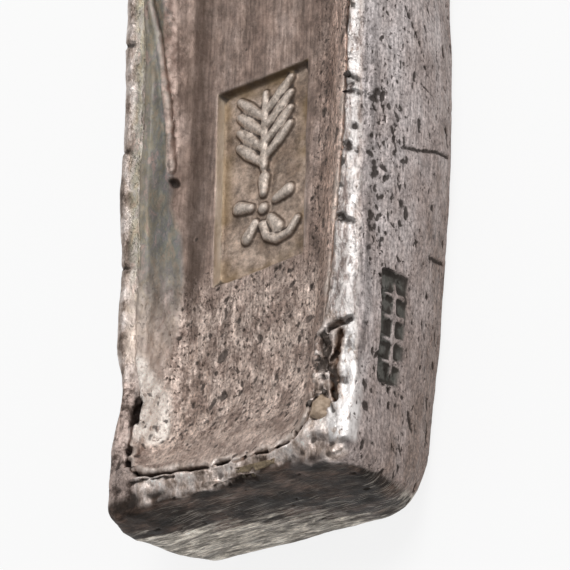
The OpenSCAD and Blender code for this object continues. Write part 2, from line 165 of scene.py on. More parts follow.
def near_line(points, path, width):
    """Closeness to a polyline: 1 on it, 0 from width away."""
    best = np.full(len(points), np.inf)
    for a, b in zip(path[:-1], path[1:]):
        a, b = np.array(a), np.array(b)
        t = np.clip(((points - a) @ (b - a)) / ((b - a) @ (b - a)), 0, 1)
        best = np.minimum(best, np.linalg.norm(points - a - t[:, None] * (b - a), axis=1))
    return 1 - step(0, width, best)


def near_plan(points, path, width):
    """Closeness in plan to a polyline of x and y, at any height."""
    return near_line(points * (1, 1, 0), [(x, y, 0) for x, y in path], width)


def bow(y):
    """Widening of the plan at y."""
    return 1 + SWELL * (1 - (y / HALF_L) ** 2)


def rim_top(y):
    """Height of the rim at y."""
    return MID_H + (END_H - MID_H) * (y / HALF_L) ** 2


def tuck_at(y):
    """Inward set of the right rim at y."""
    return TUCK * step(0, TUCK_FADE, np.minimum(y + HALF_L - TUCK_IN, HALF_L - y))


def dent_at(y):
    """Inward shift of the left side at y."""
    return DENT * step(DENT_REACH, 0, np.abs(y - DENT_Y))


def wall_gap(points):
    """How far points lie inside the side walls."""
    x, y, z = points.T
    right = x > 0
    s = np.clip((z - BASE_R) / (WALL_TOP + rim_top(y) - MID_H - SIDE_FALL * right - BASE_R), 0, 1)
    shift = np.clip(2 * s - 1, 0, 1) ** 2 * np.where(right, tuck_at(y), dent_at(y))
    return (HALF_W - SIDE_LEAN * (1 - s) + 4 * SIDE_BELLY * s * (1 - s)) * bow(y) - shift - np.abs(x)


def past_seam(points):
    """Distance in plan outward from the seam; it is negative over the trough."""
    x, y = points.T[:2]
    slant = SLANT * (HALF_L - y) / (2 * HALF_L)
    slant = slant + SEAM_STEP * step(TEAR_Y + 2 * TEAR_W, TEAR_Y - 2 * TEAR_W, y)
    shift = np.where(x > 0, slant, dent_at(y))
    side = np.abs(x) - (HALF_W - RIM_W) * bow(y) + shift + TROUGH_R
    end = np.abs(y) - HALF_L + LIP_W + TROUGH_R
    outside = np.hypot(np.maximum(side, 0), np.maximum(end, 0))
    return np.minimum(np.maximum(side, end), 0) + outside - TROUGH_R


def outward(points):
    """Direction in plan away from the trough."""
    reach = 0.05
    way = np.zeros_like(points)
    for k in (0, 1):
        off = np.eye(3)[k] * reach
        way[:, k] = past_seam(points + off) - past_seam(points - off)
    return way / np.maximum(np.linalg.norm(way, axis=1), 1e-9)[:, None]


def seam_gaps(points):
    """Share by which the seam stands open: in cavities at the near end, all along the far end."""
    x, y = points.T[:2]
    ragged = clouds(points, 0.9, 91, 2) * 0.5
    lip = window(LIP_GAPS, x + ragged, soft=0.25) * step(-33.2, -34.2, y)
    hairline = 0.22 * step(-24, -25.5, y)
    left = np.maximum(window(LEFT_GAPS, y + ragged, soft=0.3), hairline) * step(-11, -12, x)
    return np.maximum(np.maximum(lip, left), step(22, 28, y))


def settle(points):
    """Points after the sides, the left seam, the crack, the lip and the near corners have settled."""
    x, y, z = points.T
    shift = along(LEFT_SHIFT, y) * step(-6, -14, x)
    shift += along(RIGHT_SHIFT, y) * step(6, 14, x) * step(15.5, 12, z)
    shift += along(SEAM_SHIFT, y) * step(-9.5, -12.5, x) * step(-15.6, -14, x)
    shift += along(CRACK_SHIFT, y) * step(12.3, 13.4, x) * step(16.2, 15, x) * step(12, 14, z)
    lip = along(LIP_SHIFT, x) * step(2.3, 1.2, np.abs(y - NEAR_LIP)) * step(11, 13, z)
    left = step(5, 0.5, np.hypot(x - LEFT_CORNER[0], y - LEFT_CORNER[1]))
    left *= step(4, 9.5, z) * step(19, 11, z)
    right = step(7, 0.5, np.linalg.norm(points - RIGHT_FOOT, axis=1))
    moved = points + np.outer(shift, (1, 0, 0)) + np.outer(lip, (0, 1, 0))
    return moved + np.outer(left, LEFT_MOVE) + np.outer(right, RIGHT_MOVE)


# Meshes

def add_object(name, data):
    """New object in the scene."""
    obj = bpy.data.objects.new(name, data)
    bpy.context.scene.collection.objects.link(obj)
    return obj


def dense_copy(node, name, voxel, rounds):
    """Evenly dense, slightly softened copy of a solid."""
    obj = add_object(name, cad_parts[node].data.copy())
    obj.data.materials.clear()
    grid = obj.modifiers.new("grid", "REMESH")
    grid.mode = "VOXEL"
    grid.voxel_size = voxel * MM
    soften = obj.modifiers.new("soften", "SMOOTH")
    soften.iterations = rounds
    apply_modifiers(obj)
    return obj


def apply_modifiers(obj):
    """Replaces the mesh by its modified form."""
    graph = bpy.context.evaluated_depsgraph_get()
    mesh = bpy.data.meshes.new_from_object(obj.evaluated_get(graph))
    old = obj.data
    obj.modifiers.clear()
    obj.data = mesh
    bpy.data.meshes.remove(old)


def read_points(obj):
    """Vertices in millimetres and their normals."""
    count = len(obj.data.vertices)
    points, normals = np.empty(count * 3), np.empty(count * 3)
    obj.data.vertices.foreach_get("co", points)
    obj.data.vertex_normals.foreach_get("vector", normals)
    return points.reshape(-1, 3) / MM, normals.reshape(-1, 3)


def write_points(obj, points):
    """Moves the vertices, held inside the box of the solids."""
    inside = np.clip(points * MM, CAD_BOX[0], CAD_BOX[1])
    obj.data.vertices.foreach_set("co", inside.ravel())
    obj.data.update()


def write_masks(obj, masks):
    """Stores values per vertex, by name, for the materials."""
    for name, values in masks.items():
        layer = obj.data.attributes.new(name, "FLOAT", "POINT")
        layer.data.foreach_set("value", values.astype(np.float32))


def bulge(obj, rounds):
    """How far each vertex stands out from its neighbours, in micrometres, averaged over a few rounds."""
    points, normals = read_points(obj)
    edges = np.empty(len(obj.data.edges) * 2, dtype=np.int32)
    obj.data.edges.foreach_get("vertices", edges)
    a, b = edges.reshape(-1, 2).T
    count = np.bincount(a, minlength=len(points)) + np.bincount(b, minlength=len(points))

    def neighbours(values):
        total = np.bincount(a, values[b], len(points)) + np.bincount(b, values[a], len(points))
        return total / np.maximum(count, 1)

    mean = np.stack([neighbours(points[:, k]) for k in range(3)], axis=1)
    out = ((points - mean) * normals).sum(axis=1) * 1000
    for _ in range(rounds):
        out = 0.3 * out + 0.7 * neighbours(out)
    return out


def finish_piece(obj, node, faces):
    """Thins the mesh to a number of triangles, stores its hollows, attaches it to the root body and hides
    its solid.
    """
    total = 2 * len(obj.data.polygons)
    if total > faces:
        thin = obj.modifiers.new("thin", "DECIMATE")
        thin.ratio = faces / total
        apply_modifiers(obj)
    write_points(obj, read_points(obj)[0])
    obj.data.shade_smooth()
    write_masks(obj, {"cavity": step(-3, -16, bulge(obj, rounds=2))})
    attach(obj, "root")
    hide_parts(node)


class Pits:
    """Oval pits sunk in one mesh: their depth and the closeness to each pit's middle, per vertex."""

    # Fraying of a pit's outline by noise, and the reach in which its vertices are sought
    FRAY, REACH = 0.45, 1.3

    def __init__(self, points, normals, seed):
        self.points, self.normals = points, normals
        self.rng = np.random.default_rng(SEED + seed)
        self.ragged = clouds(points, 0.5, seed, 2)
        self.depth, self.near = np.zeros(len(points)), np.zeros(len(points))
        self.tree = kdtree.KDTree(len(points))
        for i, p in enumerate(points):
            self.tree.insert(p, i)
        self.tree.balance()

    def dig(self, centre, radius, stretch, depth, way):
        """One pit, drawn out along a direction."""
        within = self.tree.find_range(Vector(centre), radius * stretch * self.REACH)
        found = np.array([i for _, i, _ in within], dtype=int)
        off = self.points[found] - centre
        reach = off @ way
        across2 = np.maximum((off ** 2).sum(axis=1) - reach ** 2, 0)
        inside = 1 - (reach / (radius * stretch)) ** 2 - across2 / radius ** 2
        inside = np.clip(inside + self.FRAY * self.ragged[found], 0, 1)
        self.depth[found] = np.maximum(self.depth[found], depth * inside)
        self.near[found] = np.maximum(self.near[found], np.sqrt(inside))

    def scatter(self, weight, count, size, stretch, depth, heading):
        """Random pits over the weighted surface, drawn out along a heading."""
        rng = self.rng
        weight = weight + 1e-9
        chosen = rng.choice(len(self.points), count, p=weight / weight.sum())
        sizes = size * np.exp(rng.normal(0, 0.4, count))
        ways = heading + rng.normal(0, 0.3, (count, 3))
        ways -= self.normals[chosen] * (ways * self.normals[chosen]).sum(axis=1)[:, None]
        ways /= np.linalg.norm(ways, axis=1)[:, None]
        for i, r, way in zip(chosen, sizes, ways):
            self.dig(self.points[i], r, rng.uniform(*stretch), depth * rng.uniform(0.4, 1.3), way)

    def cut(self, path, width, depth, squash=(1, 1, 1), dark=1):
        """Gouge along a polyline; squash scales distances by axis, dark is the share that reads as a pit."""
        scaled = [np.multiply(p, squash) for p in path]
        close = near_line(self.points * squash + 0.12 * self.ragged[:, None], scaled, width)
        self.depth = np.maximum(self.depth, depth * close)
        self.near = np.maximum(self.near, dark * close)


# Cast shell

def shell_zones(points, normals):
    """Weights of the faces of the shell and the distances that the sculpting needs."""
    x, y, z = points.T
    inset_side, inset_end = wall_gap(points), HALF_L - np.abs(y)
    past = past_seam(points)
    drop = rim_top(y) - z
    inner_drop = drop - INNER_FALL * step(-6, -10, x) * step(35.6, 29.6, np.abs(y))
    hidden = step(1.1, 1.5, np.minimum(inset_side, inset_end)) * step(2.3, 2.7, drop) * step(4, 5, z)
    free = 1 - hidden
    shelf = step(10.2, 10.9, x) * step(14.4, 13.4, x) * step(-34, -33, y) * step(-22.6, -23.8, y)
    return Zones(
        past=past,
        drop=drop,
        free=free,
        gaps=seam_gaps(points),
        seam=step(0.55, 0.25, past) * step(0.2, 0.5, inner_drop) * step(5, 7, z) * free,
        side=step(0.6, 0.85, np.abs(normals[:, 0])) * step(1.6, 1, inset_side) * free,
        end=step(0.5, 0.8, np.abs(normals[:, 1])) * step(1.6, 1, inset_end) * free,
        base=step(0.6, 0.85, -normals[:, 2]),
        rim=step(2.8, 1.2, drop) * free,
        shelf=shelf * free,
    )


def sculpt_shell():
    """Cast shell: lumpy rim, broken seam, torn shelf, pitted sides, scratched ends."""
    obj = dense_copy("outer_shell", "cast_shell", voxel=0.2, rounds=3)
    points, normals = read_points(obj)
    stamp = stamp_floor(points)
    zone = shell_zones(points, normals)
    settled = settle(points)
    coarse = shell_waves(settled, zone)
    write_points(obj, settled + normals * coarse[:, None] + np.outer(lip_lumps(settled, zone), UP))
    edge = bulge(obj, rounds=16)
    points, normals = read_points(obj)
    pits = shell_pits(points, normals, zone)
    fine = zone.free * (shell_grain(points, settled, zone) - pits.depth)
    points = points + normals * fine[:, None]
    points[:, 2] = np.minimum(points[:, 2], rim_top(points[:, 1]) + BURR)
    write_points(obj, points)
    write_masks(obj, {
        "pit": pits.near * zone.free,
        "stamp": stamp,
        "wear": step(3, 16, edge) * zone.free,
        **shell_masks(points, settled, zone),
    })
    finish_piece(obj, "outer_shell", METAL_FACES)
    return obj


def shell_waves(points, zone):
    """Coarse relief: waves, lumpy crest, torn shelf and crack, the residue's hollow, the shut seam."""
    x, y = points.T[:2]
    waves = clouds(points, 13, 1, 2) * 0.2 + clouds(points, 4, 4, 2) * 0.05 - 0.1
    smooth = step(-11, -14, x) * step(35, 32, np.abs(y))
    crest = np.minimum(clouds(points, (2.5, 2.8, 9), 21) * 0.2, 0.06) * zone.rim * (1 - 0.6 * smooth)
    shelf = zone.shelf * zone.rim * (clouds(points, 1.6, 29) * 0.35 - 0.1)
    torn = crack_walls(points, zone) * (0.12 + 0.3 * clouds(points, 1, 33))
    hollow = near_plan(points, HOLLOW, 2) * step(0.3, 0.7, zone.drop) * 0.35
    shut = zone.seam * (0.34 * (1 - zone.gaps) + 0.12 * clouds(points, 1.2, 27))
    return zone.free * (waves + crest + shelf + torn + hollow) + shut


def lip_lumps(points, zone):
    """Height of the lumps along the two lips, hardly any above the lip itself."""
    lumps = clouds(points, (2.8, 2.2, 9), 23, 2) * 0.34 - 0.14
    calm = 1 - 0.7 * step(8, 11, points[:, 0])
    return np.minimum(lumps, 0.05) * calm * zone.rim * step(35.4, 36.4, np.abs(points[:, 1]))


def shell_grain(points, settled, zone):
    """Fine relief: grain, lines along the sides, streaks across the lower ends."""
    grain = clouds(points, 0.9, 7) * 0.022
    lines = clouds(points, (0.7, 9, 0.7), 11, 2) * 0.022 * zone.side
    flow = points + 1.6 * np.outer(clouds(points, 9, 15, 1), (1, 1, 1))
    streaks = clouds(flow, (9, 2, 0.8), 17) * 0.03 * zone.end * step(10, 5, settled[:, 2])
    return grain + lines + streaks


def shell_pits(points, normals, zone):
    """Pits all over the shell, gouges on the stamped side, notches in the rim, the broken near lip."""
    pits = Pits(points, normals, 31)
    x, y, z = points.T
    belt = step(9.5, 11.5, z) * step(-16, -12, y) * step(12, 8, y) * step(0, 1, x)
    side = zone.side * (0.35 + step(0.1, 0.5, clouds(points, 14, 25, 2)) + 2.5 * belt)
    middle = zone.base * step(1.2, 2.4, np.minimum(wall_gap(points), HALF_L - np.abs(y)))
    for group in (
        (side, 700, 0.15, (1, 3), 0.2, (0, 1, 0)),
        (zone.side, 420, 0.12, (1.5, 4.5), 0.16, (0, 1, 0.35)),
        (side, 80, 0.28, (1, 1.9), 0.34, (0, 1, 0.2)),
        (middle, 200, 0.5, (1, 1.4), 0.4, (1, 0, 0)),
        (zone.end, 40, 0.16, (1, 3), 0.2, (1, 0, 0.1)),
        (zone.shelf * zone.rim, 26, 0.3, (1, 1.8), 0.5, (0, 1, 0)),
    ):
        pits.scatter(*group)
    gouge_side(pits)
    notch_rim(pits)
    break_lip(pits)
    return pits


def gouge_side(pits):
    """Gouges down the stamped side, a row of nicks and two pits under the rim."""
    wall = HALF_W * bow(0)
    flat = (0.15, 1, 1)
    for path, width, depth in (
        (((-1.3, 11.3), (-0.4, 8), (0.6, 5), (1.6, 1.5)), 0.42, 0.35),
        (((-11.9, 5), (-11.1, 1.4)), 0.5, 0.4),
        (((7.5, 8.3), (6.9, 6.4)), 0.28, 0.15),
        (((0.8, 12.7), (-2, 12.1)), 0.3, 0.2),
    ):
        pits.cut([(wall, y, z) for y, z in path], width, depth, flat)
    for k in range(4):
        y, z = 15.2 - 0.9 * k, 10.5 - 0.63 * k
        pits.cut([(wall, y, z), (wall, y - 0.4, z - 0.1)], 0.45, 0.4, flat)
    slanted = (0, 0.9, 0.43)
    pits.dig((wall - 0.1, -8.3, 14.5), 0.55, 1.6, 0.6, slanted)
    pits.dig((wall - 0.2, -6.6, 14.9), 0.3, 1.6, 0.4, slanted)


def notch_rim(pits):
    """Notches across the right rim and the left crest."""
    low = (1, 1, 0.5)
    for y, x0, x1 in ((-10.7, 13.4, 15), (-2.3, 13.7, 15.2), (4.3, 14, 16), (6.2, 13.8, 15)):
        pits.cut([(x0, y + 0.5, 16.4), (x1, y - 0.3, 16)], 0.45, 0.5, low)
    pits.dig((14.9, 0.4, 15.8), 0.45, 1.2, 0.4, (0, 1, 0))
    for x, y in ((-16.4, 17.7), (-16.6, 4.9), (-15.6, -9.4)):
        pits.cut([(x - 1, y + 0.2, 16.2), (x + 0.4, y, 16.6)], 0.5, 0.35, low)


def break_lip(pits):
    """Torn rim at the near right corner and the nicks along the near lip."""
    low = (1, 1, 0.4)
    for path, width, depth, dark in (
        (((12.2, -24.6, 16.8), (12.7, -26, 16.8), (12.4, -27.6, 16.8)), 1, 0.8, 0.3),
        (((13.3, -31.9, 16.8), (14, -33.3, 16.7)), 0.35, 0.5, 1),
        (((11.6, -36.4, 17), (13, -36.6, 17), (14.4, -37.3, 16.8), (15.8, -37.1, 16.4)), 1, 0.35, 0),
        (((-2.2, -38.5, 16.5), (-0.6, -38.2, 16.5), (2.6, -38.2, 16.5), (4.1, -38.9, 16)), 0.45, 0.55, 1),
        (((-13.1, -35.9, 17), (-10.6, -35.8, 17), (-7.1, -36.4, 17)), 0.35, 0.35, 1),
    ):
        pits.cut(path, width, depth, low, dark)
    for x, y, radius in ((11.6, -26.6, 0.35), (12.2, -30.3, 0.45), (12.8, -31.4, 0.3)):
        pits.dig((x, y, rim_top(y) - 0.3), radius, 1.4, 0.6, (0, 1, 0))


def shell_masks(points, settled, zone):
    """Where the shell is rubbed, dark, filmed, open or rusty."""
    x, y = settled.T[:2]
    band, white = rubbed_band(points, zone)
    shoulder = step(-0.2, 0.3, x - along(BAND_OUT, y)) * step(36.8, 35.6, np.abs(y)) * zone.rim
    inner_left = step(-10, -12, x) * step(-23, -19, y) * step(1.2, 2, RIM_W - zone.past)
    return {
        "clean": band,
        "white": white,
        "end": dark_end(points, zone),
        "shoulder": shoulder * (1 - band),
        "lip": zone.rim * (1 - zone.side) * (1 - shoulder),
        "film": zone.rim * inner_left,
        "seam": zone.seam * zone.gaps,
        "rust": crack_walls(points, zone),
        "tan": tan_corner(points, zone),
        "gloom": corner_gloom(points, zone),
    }


def rubbed_band(points, zone):
    """Bright band that handling keeps on the right rim and its near corner, and its whitest part."""
    x, y = points.T[:2]
    ragged = clouds(points, (1.2, 2.2, 1.2), 81) * 0.35
    past_in, past_out = x - along(BAND_IN, y), x - along(BAND_OUT, y)
    band = step(-0.1, 0.3, past_in + ragged) * step(0.45, -0.45, past_out + ragged)
    band *= step(-37.2, -36.4, y) * step(2.9, 2, zone.drop) * zone.free
    strip = step(0.15, -0.2, np.abs(past_out + 0.75) - 0.35 + ragged)
    corner = near_plan(points, WHITE_CORNER, 2.2)
    return band, band * np.clip(np.maximum(0.5 * strip, 2.4 * corner), 0, 1)


def dark_end(points, zone):
    """Dark faces of the ends, partly tarnish and partly painted shade, up to the edge along the lip."""
    x, y, z = points.T
    across = np.where(y < 0, x, -x)
    ragged = clouds(points, (2, 2, 1), 83) * 0.35
    below = step(0.35, -0.25, z + ragged - along(END_TOP, across))
    return below * step(36.6, 37.8, np.abs(y)) * (1 - zone.side) * zone.free


def crack_walls(points, zone):
    """Walls of the crack in the right rim."""
    height = step(0.5, 1, zone.drop) * step(9, 6, zone.drop)
    return near_plan(points, CRACK, 1.2) * height * zone.free


def tan_corner(points, zone):
    """Browned rim at the near left corner."""
    x, y = points.T[:2]
    return step(-21, -25, y) * step(-11.5, -13, x) * step(3.5, 2, zone.drop) * zone.free


def corner_gloom(points, zone):
    """Facets at the near right corner that lie in the shade."""
    facets = (
        (0.1, ((12.3, -24.6), (12.5, -27.6)), 1.1),
        (0.42, ((12.1, -35.6), (13.3, -36.9)), 1.2),
        (0.5, ((15.2, -37), (16, -37.2)), 0.9),
        (0.5, ((8.2, -38.5), (12.2, -38.3)), 1.1),
    )
    shade = np.max([share * near_plan(points, path, width) for share, path, width in facets], axis=0)
    return np.clip(1.5 * shade, 0, 1) * zone.rim


def stamp_floor(points):
    """Share by which a point lies in the sunk floor of the side stamp."""
    x, y, z = points.T
    inside = step(STAMP_L / 2 + 1, STAMP_L / 2, np.abs(y - STAMP_Y))
    inside *= step(STAMP_W / 2 + 1.2, STAMP_W / 2 + 0.5, np.abs(z - STAMP_Z))
    floor = STAMP_FOOT + (STAMP_DEPTH - STAMP_FOOT) * np.clip((z - STAMP_Z) / STAMP_W + 0.5, 0, 1)
    return inside * step(0.45, 0.75, wall_gap(points) / floor) * step(0, 1, x)


# Trough metal

def fill_zones(points, normals):
    """Weights of the parts of the trough."""
    x, y, z = points.T
    past = past_seam(points)
    cos, sin = math.cos(SEAL_TURN), math.sin(SEAL_TURN)
    u, v = np.array([[cos, sin], [-sin, cos]]) @ np.stack([x - SEAL_X, y])
    u = u - SEAL_SKEW * v
    inside = np.maximum(np.abs(u) - SEAL_W / 2, np.abs(v) - SEAL_L / 2)
    under = step(0.2, 0.5, -normals[:, 2])
    deep = step(1.9, 2.3, rim_top(y) - z) * step(-1.2, -0.8, past)
    free = 1 - np.maximum(under, deep)
    seal = step(0.1, -0.1, inside)
    grit = np.maximum(step(5, 8, x), step(-8, -14, y)) * (1 - 0.6 * step(-29, -33, y))
    return Zones(
        past=past,
        free=free,
        gaps=seam_gaps(points),
        u=u,
        v=v,
        seal=seal,
        rimmed=step(0.4, 0.8, -inside),
        floor=free * (1 - seal),
        edge=step(-1.6, -0.3, past) * free,
        grit=grit * free,
    )


def sculpt_fill():
    """Trough metal: edge that meets the rim save in the gaps, flow lines, dashes, dents."""
    obj = dense_copy("trough_fill", "trough_metal", voxel=0.17, rounds=2)
    points, normals = read_points(obj)
    zone = fill_zones(points, normals)
    settled = settle(spread_edge(points, zone))
    zone.hole = near_plan(settled, HOLE, 0.5)
    zone.lap = near_plan(settled, LAP, 1.2)
    coarse = fill_waves(settled, zone)
    write_points(obj, settled + normals * coarse[:, None] + np.outer(edge_sag(settled, zone), UP))
    edge = bulge(obj, rounds=12)
    points, normals = read_points(obj)
    pits = fill_pits(points, normals, zone)
    fine = fill_grain(points, zone) - zone.floor * np.maximum(pits.depth, zone.hole * 0.8)
    points = points + normals * fine[:, None]
    write_points(obj, points)
    write_masks(obj, {
        "pit": np.maximum(pits.near * zone.floor, zone.hole),
        "wear": step(3, 16, edge) * zone.free,
        **fill_masks(points, settled, zone),
    })
    finish_piece(obj, "trough_fill", METAL_FACES)
    return obj


def spread_edge(points, zone):
    """Points after the edge has flowed out and up to the rim, save in the gaps."""
    spread = step(-3, -0.8, zone.past) * zone.free * (1 - zone.gaps)
    opened = step(18, 25.6, np.abs(points[:, 1]))
    moved = points + outward(points) * (spread * (0.12 + 0.45 * opened))[:, None]
    return moved + np.outer(spread * (0.12 + 0.12 * opened), UP)


def fill_waves(points, zone):
    """Coarse relief: slow waves, the swell of the lap, an uneven edge."""
    waves = clouds(points, 9, 41, 2) * 0.16 + clouds(points, (2.2, 5, 2.2), 44, 2) * 0.06
    swell = 0.2 * near_plan(points, LAP, 2.4) + zone.lap * (0.18 * clouds(points, 1.5, 49, 2) - 0.1)
    return zone.floor * (waves + swell) + zone.edge * clouds(points, 1.4, 54) * 0.06


def edge_sag(points, zone):
    """Height of the lumps along the edge at the near end."""
    near_edge = zone.edge * step(-20, -26, points[:, 1])
    return near_edge * (clouds(points, (1.5, 1.5, 6), 58) * 0.3 - 0.12)


def fill_grain(points, zone):
    """Fine relief: grain, dents, flow lines."""
    grain = zone.free * clouds(points, 0.8, 47) * 0.014
    dents = clouds(points, (1.6, 2.2, 1.6), 56) * 0.12 + clouds(points, (0.7, 1.2, 0.7), 57) * 0.035
    lines = zone.floor * clouds(points, (0.5, 7, 0.5), 51, 2) * 0.014
    return grain + zone.floor * zone.grit * dents + lines


def fill_pits(points, normals, zone):
    """Dashes on the trough, dense at the near end, and a round pit on the bright slope."""
    pits = Pits(points, normals, 61)
    floor = zone.floor * (1 - zone.edge) * (1 - rubbed_slope_highlight(points, zone))
    floor *= step(-12, -9, points[:, 0])
    pits.scatter(floor * (0.06 + zone.grit), 420, 0.16, (1, 2.2), 0.13, (0.5, 1, 0))
    pits.scatter(floor * zone.grit, 70, 0.28, (1, 1.7), 0.26, (0.3, 1, 0))
    pits.dig((-11.3, -27.5, 13.5), 0.4, 1.2, 0.5, (0, 1, 0))
    return pits


def fill_masks(points, settled, zone):
    """Where the trough is sealed, filmed, pale or open, and where light or shade is painted in: the
    highlight on the rubbed slope, the dim strip of shade, the shade at the feet of the ornament and the lit
    and shaded edges of the seal.
    """
    x, y, z = settled.T
    free, past = zone.free, zone.past
    drop, rise = rim_top(y) - z, points[:, 2] - SEAL_Z
    bead = step(-1.4, -0.7, past) * step(-32.5, -34, y) * step(1.2, 0.6, drop) * free
    wall = step(8, 10.5, x) * free
    return {
        "seal": zone.seal,
        "stroke": zone.rimmed * step(0.2, 0.45, rise),
        # Painted shade at the feet of the seal's ornament.
        "foot": zone.rimmed * step(0, 0.08, rise) * step(0.4, 0.2, rise),
        "lap": zone.lap * free,
        "bead": bead * step(-0.3, 0.3, clouds(points, 1.4, 59)),
        "grit": zone.grit,
        "film": step(0.4, -0.4, x + along(FILM_FOOT, y)) * step(-27, -21, y) * free,
        "wall": wall * step(-20, -12, y),
        "pale": step(-9, -17, y) * free * (1 - 0.9 * wall),
        "clean": rubbed_slope_highlight(points, zone),
        "dim": shaded_floor_strip(points, zone),
        "ochre": ochre_film(points, zone),
        "seam": zone.gaps * step(-1.3, -0.7, past) * step(0.5, 0.9, drop) * free,
        "lit": step(0.5, 0.3, zone.u + SEAL_W / 2) * zone.seal,
        "shade": step(10.9, 11.4, zone.v) * zone.seal,
    }


def rubbed_slope_highlight(points, zone):
    """Rubbed patch low on the left slope at the near end, painted near-white as a highlight."""
    patch = near_plan(points, RUBBED_HIGHLIGHT_SLOPE, 2.1)
    return np.clip(2.4 * patch * step(-0.9, 0, clouds(points, 1.3, 83)), 0, 1) * zone.free


def shaded_floor_strip(points, zone):
    """Painted shade: a dark strip on the floor between the left wall and the seal, standing in for a dark
    reflection.
    """
    x, y = points.T[:2]
    return np.exp(-((x + 9.8) / 2.4) ** 2) * step(-18, -9, y) * zone.floor


def ochre_film(points, zone):
    """Ochre along the inside edges of the seal and in the open seam."""
    inside = np.minimum(SEAL_W / 2 - np.abs(zone.u), SEAL_L / 2 - np.abs(zone.v))
    rim = step(2.4, 0.6, inside) * zone.seal
    seam = zone.edge * step(26, 34, np.abs(points[:, 1])) * 0.4
    return np.clip((rim + seam) * step(-0.5, 0.4, clouds(points, 3, 85, 2)), 0, 1)


# Residue

def sculpt_lump():
    """Crumbly lump that fills its hollow in the torn rim."""
    obj = dense_copy("corner_residue", "corner_lump", voxel=0.06, rounds=3)
    points, normals = read_points(obj)
    rough = 0.42 + clouds(points, 1.2, 71) * 0.35
    sink = 0.45
    write_points(obj, settle(points + normals * rough[:, None] - (0, 0, sink)))
    finish_piece(obj, "corner_residue", RESIDUE_FACES)
    return obj


def sculpt_crust(shell):
    """Thin crust that clings to the lip of the sculpted shell and breaks off in a ragged edge."""
    obj = dense_copy("lip_residue", "lip_crust", voxel=0.06, rounds=3)
    points, normals = read_points(obj)
    surface = bvhtree.BVHTree.FromObject(shell, bpy.context.evaluated_depsgraph_get())
    hits = [surface.find_nearest(Vector(p * MM)) for p in points]
    on = np.array([hit[0] for hit in hits]) / MM
    up = np.array([hit[1] for hit in hits])
    low, high = points.min(axis=0), points.max(axis=0)
    off = np.abs(2 * (points - low) / (high - low) - 1)[:, 0]
    ragged = clouds(points, 1.3, 73) * 0.5
    broken = np.maximum(step(0.75, 1, off + ragged), step(-37.9, -38.2, points[:, 1] + ragged))
    top = 0.2 + 0.08 * clouds(points, 0.6, 71) - 0.4 * broken
    rooted = -0.25
    height = np.where((normals * up).sum(axis=1) > 0, top, rooted)
    write_points(obj, on + up * height[:, None])
    finish_piece(obj, "lip_residue", RESIDUE_FACES)
    return obj


# Materials

